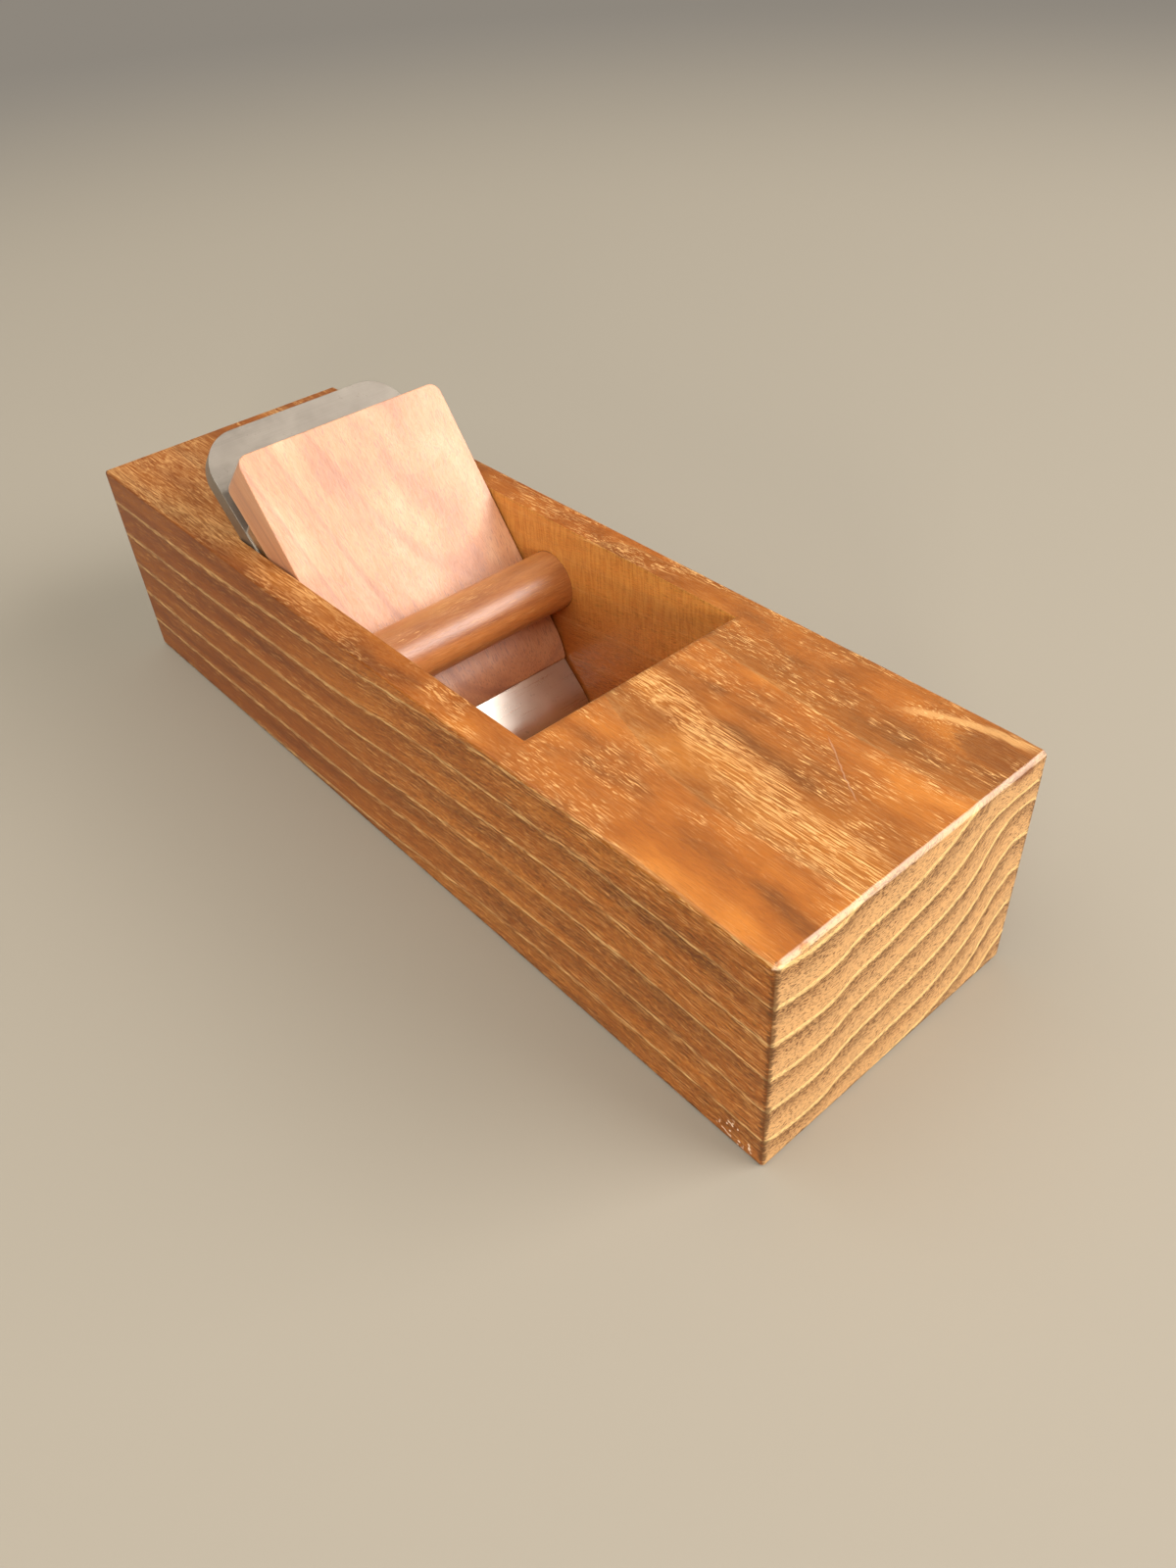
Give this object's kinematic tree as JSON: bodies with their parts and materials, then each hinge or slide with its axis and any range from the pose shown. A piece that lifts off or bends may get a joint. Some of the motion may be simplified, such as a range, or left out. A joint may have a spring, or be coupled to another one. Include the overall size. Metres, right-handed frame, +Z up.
{
  "type": "wooden block plane",
  "caption": "Wooden hand plane with a solid hardwood body, an iron and chipbreaker on a 45 degree bed, and a wedge held under a round cross pin.",
  "frame": {"origin": "middle of the sole, on the surface that the plane stands on", "axes": "+X to the toe, +Y to the right cheek seen from the heel, +Z up out of the throat"},
  "size_m": [0.215, 0.065, 0.0709],
  "materials": {
    "body_wood": "oiled golden-brown hardwood with light ring lines",
    "pin_wood": "polished reddish-brown hardwood",
    "wedge_wood": "glossy oiled pale hardwood",
    "iron_steel": "satin ground",
    "breaker_steel": "satin with a polished nose",
    "screw_steel": "turned and darkened"
  },
  "bodies": {
    "plane": {"plane_body": "body_wood"},
    "pin": {"cross_pin": "pin_wood"},
    "wedge": {"wedge": "wedge_wood"},
    "iron": {"iron": "iron_steel"},
    "breaker": {"chipbreaker": "breaker_steel"},
    "screw": {"breaker_screw": "screw_steel"}
  },
  "joints": [
    {"name": "wedge_slide", "type": "slide", "parent": "plane", "child": "wedge", "axis": [-0.7071, 0, 0.7071], "range_m": [0, 0.075]},
    {"name": "iron_slide", "type": "slide", "parent": "plane", "child": "iron", "axis": [-0.7071, 0, 0.7071], "range_m": [-0.0008, 0.09]},
    {"name": "breaker_slide", "type": "slide", "parent": "iron", "child": "breaker", "axis": [-0.7071, 0, 0.7071], "range_m": [-0.0008, 0.021]},
    {"name": "screw_turn", "type": "hinge", "parent": "breaker", "child": "screw", "pos_m": [-0.02968, 0, 0.02602], "axis": [0.7071, 0, 0.7071], "continuous": true},
    {"name": "pin_turn", "type": "hinge", "parent": "plane", "child": "pin", "pos_m": [-0.01047, 0, 0.03463], "axis": [0, 1, 0], "continuous": true}
  ]
}
